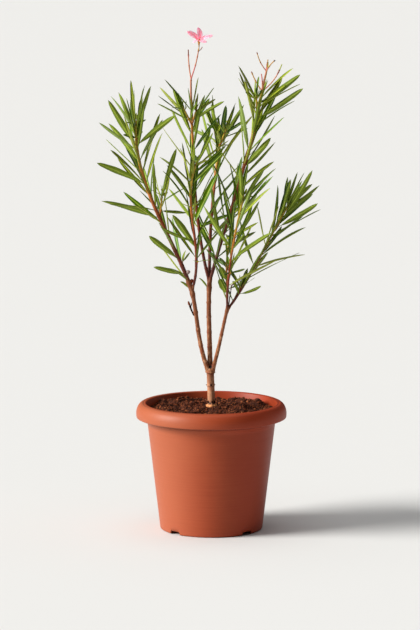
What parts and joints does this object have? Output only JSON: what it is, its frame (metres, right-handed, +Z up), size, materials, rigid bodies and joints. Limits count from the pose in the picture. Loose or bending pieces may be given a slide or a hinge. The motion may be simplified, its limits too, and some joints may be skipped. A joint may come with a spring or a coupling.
{
  "type": "potted oleander",
  "caption": "Young oleander shrub with forked woody stems, narrow whorled leaves and a pink bloom, growing in compost in a round terracotta-coloured pot with a rolled rim.",
  "frame": {"origin": "middle of the pot's flat underside, where it stands on the ground", "axes": "+Z up; +X to the right and +Y away from the viewer when the plant is seen as in the picture"},
  "size_m": [0.3601, 0.3332, 0.7936],
  "materials": {
    "pot": "satin moulded terracotta-coloured plastic with faint turned lines",
    "compost": "loose dark peat and bark crumbs",
    "bark": "matt tan-brown bark with leaf scars",
    "young_bark": "smooth red-brown young bark, paler at the forks",
    "foliage": "leathery mid-green leaves with a pale midrib"
  },
  "bodies": {
    "root": {"pot": "pot", "soil": "compost", "trunk": "bark", "left_bough": "young_bark", "centre_bough": "young_bark", "right_bough": "young_bark", "centre_left_limb": "young_bark", "centre_middle_limb": "young_bark", "centre_right_limb": "young_bark", "foliage_left_outer": "foliage", "foliage_left_inner": "foliage", "foliage_centre_left": "foliage", "foliage_centre_middle": "foliage", "foliage_centre_right": "foliage", "foliage_right_inner": "foliage", "foliage_right_middle": "foliage", "foliage_right_outer": "foliage"}
  },
  "joints": []
}
